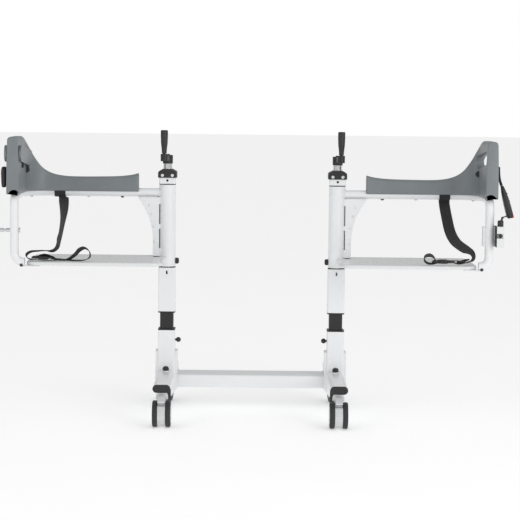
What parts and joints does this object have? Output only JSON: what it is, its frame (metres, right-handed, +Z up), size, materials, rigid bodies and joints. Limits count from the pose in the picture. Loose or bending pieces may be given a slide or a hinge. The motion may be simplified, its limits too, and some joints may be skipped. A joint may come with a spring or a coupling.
{
  "type": "sit to stand lift",
  "caption": "Wheeled transfer chair: split seat halves with moulded arms swing open on crank-raised telescoping columns over a caster base.",
  "frame": {"origin": "centre of the crossbar's top face, 106 mm above the floor", "axes": "+X to the right seen from behind, +Y to the chair's front, +Z up; both seat halves stand open at rest"},
  "size_m": [1.4549, 0.5355, 0.832],
  "materials": {
    "white_frame": "white powder coat, satin",
    "black_profile": "black powder coat, satin",
    "grey_shell": "fine-grained moulded grey plastic",
    "white_seat": "smooth glossy light plastic",
    "black_plastic": "satin moulded black plastic",
    "black_grip": "fluted black plastic",
    "chrome_steel": "polished plated steel",
    "zinc_screws": "zinc plated",
    "dark_screws": "blackened steel",
    "brass_nut": "machined",
    "webbing": "woven black webbing",
    "caster_plastic": "light grey moulded nylon",
    "tyre_rubber": "matt black tread",
    "red_button": "moulded red plastic",
    "latch_plastic": "white moulded housing"
  },
  "bodies": {
    "base": {"base_crossbar": "white_frame", "leg_tubes": "white_frame", "column_brackets": "white_frame", "lower_columns": "white_frame", "leg_end_caps": "black_plastic", "lower_guide_collars": "black_plastic", "lift_nuts": "brass_nut"},
    "left_middle": {"left_middle_profile": "black_profile"},
    "left_lift": {"left_upper_column": "white_frame", "left_column_bushes": "black_plastic", "left_column_cap": "black_plastic", "left_column_screws": "zinc_screws"},
    "left_crank": {"left_lead_screw": "chrome_steel", "left_crank_arm": "black_plastic"},
    "left_grip": {"left_crank_grip": "black_grip"},
    "left_half": {"left_swing_sleeve": "white_frame", "left_arm_tube": "white_frame", "left_arm_shell": "grey_shell", "left_seat_plate": "white_seat", "left_frame_screws": "dark_screws", "left_lap_belt": "webbing", "left_lap_buckle": "black_plastic", "left_back_belt": "webbing", "latch_pin": "chrome_steel"},
    "left_lock_knob": {"left_swing_lock": "black_plastic"},
    "left_clamp_knob": {"left_column_knob": "black_plastic"},
    "left_rear_swivel": {"left_rear_caster_body": "caster_plastic"},
    "left_rear_wheel": {"left_rear_wheels": "tyre_rubber"},
    "left_brake": {"left_rear_brake": "caster_plastic"},
    "left_front_swivel": {"left_front_fork": "caster_plastic"},
    "left_front_wheel": {"left_front_tyre": "tyre_rubber", "left_front_hub": "caster_plastic"},
    "right_middle": {"right_middle_profile": "black_profile"},
    "right_lift": {"right_upper_column": "white_frame", "right_column_bushes": "black_plastic", "right_column_cap": "black_plastic", "right_column_screws": "zinc_screws"},
    "right_crank": {"right_lead_screw": "chrome_steel", "right_crank_arm": "black_plastic"},
    "right_grip": {"right_crank_grip": "black_grip"},
    "right_half": {"right_swing_sleeve": "white_frame", "right_arm_tube": "white_frame", "right_arm_shell": "grey_shell", "right_seat_plate": "white_seat", "right_frame_screws": "dark_screws", "right_lap_belt": "webbing", "right_lap_buckle": "black_plastic", "right_back_belt": "webbing", "belt_buckle": "black_plastic", "latch_case": "latch_plastic"},
    "right_lock_knob": {"right_swing_lock": "black_plastic"},
    "right_clamp_knob": {"right_column_knob": "black_plastic"},
    "right_rear_swivel": {"right_rear_caster_body": "caster_plastic"},
    "right_rear_wheel": {"right_rear_wheels": "tyre_rubber"},
    "right_brake": {"right_rear_brake": "caster_plastic"},
    "right_front_swivel": {"right_front_fork": "caster_plastic"},
    "right_front_wheel": {"right_front_tyre": "tyre_rubber", "right_front_hub": "caster_plastic"},
    "latch": {"latch_bolt": "black_plastic"},
    "buckle_button": {"belt_button": "red_button"}
  },
  "joints": [
    {"name": "lift_left", "type": "slide", "parent": "base", "child": "left_lift", "axis": [0, 0, 1], "range_m": [-0.04, 0.16]},
    {"name": "middle_slide_left", "type": "slide", "parent": "base", "child": "left_middle", "axis": [0, 0, 1], "range_m": [-0.0241, 0.0961]},
    {"name": "crank_left", "type": "hinge", "parent": "left_lift", "child": "left_crank", "pos_m": [-0.25, -0.05, 0.634], "axis": [0, 0, 1], "range_deg": [-1450, 5770]},
    {"name": "grip_spin_left", "type": "hinge", "parent": "left_crank", "child": "left_grip", "pos_m": [-0.25732, -0.11962, 0.684], "axis": [0, 0, 1], "continuous": true},
    {"name": "arm_swing_left", "type": "hinge", "parent": "left_lift", "child": "left_half", "pos_m": [-0.25, -0.05, 0.444], "axis": [0, 0, 1], "range_deg": [0, 90]},
    {"name": "lock_pull_left", "type": "slide", "parent": "left_half", "child": "left_lock_knob", "axis": [1, 0, 0], "range_m": [0, 0.006]},
    {"name": "clamp_knob_left", "type": "slide", "parent": "base", "child": "left_clamp_knob", "axis": [1, 0, 0], "range_m": [0, 0.006]},
    {"name": "rear_swivel_left", "type": "hinge", "parent": "base", "child": "left_rear_swivel", "pos_m": [-0.25, -0.312, -0.006], "axis": [0, 0, 1], "continuous": true},
    {"name": "rear_wheel_spin_left", "type": "hinge", "parent": "left_rear_swivel", "child": "left_rear_wheel", "pos_m": [-0.25, -0.333, -0.0685], "axis": [1, 0, 0], "continuous": true},
    {"name": "brake_left", "type": "hinge", "parent": "left_rear_swivel", "child": "left_brake", "pos_m": [-0.25, -0.334, -0.02], "axis": [1, 0, 0], "range_deg": [0, 12]},
    {"name": "front_swivel_left", "type": "hinge", "parent": "base", "child": "left_front_swivel", "pos_m": [-0.25, 0.142, -0.001], "axis": [0, 0, 1], "continuous": true},
    {"name": "front_wheel_spin_left", "type": "hinge", "parent": "left_front_swivel", "child": "left_front_wheel", "pos_m": [-0.25237, 0.10808, -0.056], "axis": [0.9976, -0.0698, 0], "continuous": true},
    {"name": "lift_right", "type": "slide", "parent": "base", "child": "right_lift", "axis": [0, 0, 1], "range_m": [-0.04, 0.16]},
    {"name": "middle_slide_right", "type": "slide", "parent": "base", "child": "right_middle", "axis": [0, 0, 1], "range_m": [-0.0241, 0.0961]},
    {"name": "crank_right", "type": "hinge", "parent": "right_lift", "child": "right_crank", "pos_m": [0.25, -0.05, 0.634], "axis": [0, 0, 1], "range_deg": [-1450, 5770]},
    {"name": "grip_spin_right", "type": "hinge", "parent": "right_crank", "child": "right_grip", "pos_m": [0.25732, -0.11962, 0.684], "axis": [0, 0, 1], "continuous": true},
    {"name": "arm_swing_right", "type": "hinge", "parent": "right_lift", "child": "right_half", "pos_m": [0.25, -0.05, 0.444], "axis": [0, 0, -1], "range_deg": [0, 90]},
    {"name": "lock_pull_right", "type": "slide", "parent": "right_half", "child": "right_lock_knob", "axis": [-1, 0, 0], "range_m": [0, 0.006]},
    {"name": "clamp_knob_right", "type": "slide", "parent": "base", "child": "right_clamp_knob", "axis": [-1, 0, 0], "range_m": [0, 0.006]},
    {"name": "rear_swivel_right", "type": "hinge", "parent": "base", "child": "right_rear_swivel", "pos_m": [0.25, -0.312, -0.006], "axis": [0, 0, 1], "continuous": true},
    {"name": "rear_wheel_spin_right", "type": "hinge", "parent": "right_rear_swivel", "child": "right_rear_wheel", "pos_m": [0.25, -0.333, -0.0685], "axis": [1, 0, 0], "continuous": true},
    {"name": "brake_right", "type": "hinge", "parent": "right_rear_swivel", "child": "right_brake", "pos_m": [0.25, -0.334, -0.02], "axis": [1, 0, 0], "range_deg": [0, 12]},
    {"name": "front_swivel_right", "type": "hinge", "parent": "base", "child": "right_front_swivel", "pos_m": [0.25, 0.142, -0.001], "axis": [0, 0, 1], "continuous": true},
    {"name": "front_wheel_spin_right", "type": "hinge", "parent": "right_front_swivel", "child": "right_front_wheel", "pos_m": [0.25237, 0.10808, -0.056], "axis": [0.9976, 0.0698, 0], "continuous": true},
    {"name": "latch_pull", "type": "slide", "parent": "right_half", "child": "latch", "axis": [0, 0, 1], "range_m": [0, 0.014]},
    {"name": "belt_button_press", "type": "slide", "parent": "right_half", "child": "buckle_button", "axis": [-0.2756, 0, 0.9613], "range_m": [0, 0.003]}
  ],
  "couplings": [
    {"joint": "crank_left", "follows": "lift_left", "rad_per_m": 628.32},
    {"joint": "middle_slide_left", "follows": "lift_left", "ratio": 0.6},
    {"joint": "crank_right", "follows": "lift_right", "rad_per_m": 628.32},
    {"joint": "middle_slide_right", "follows": "lift_right", "ratio": 0.6}
  ]
}
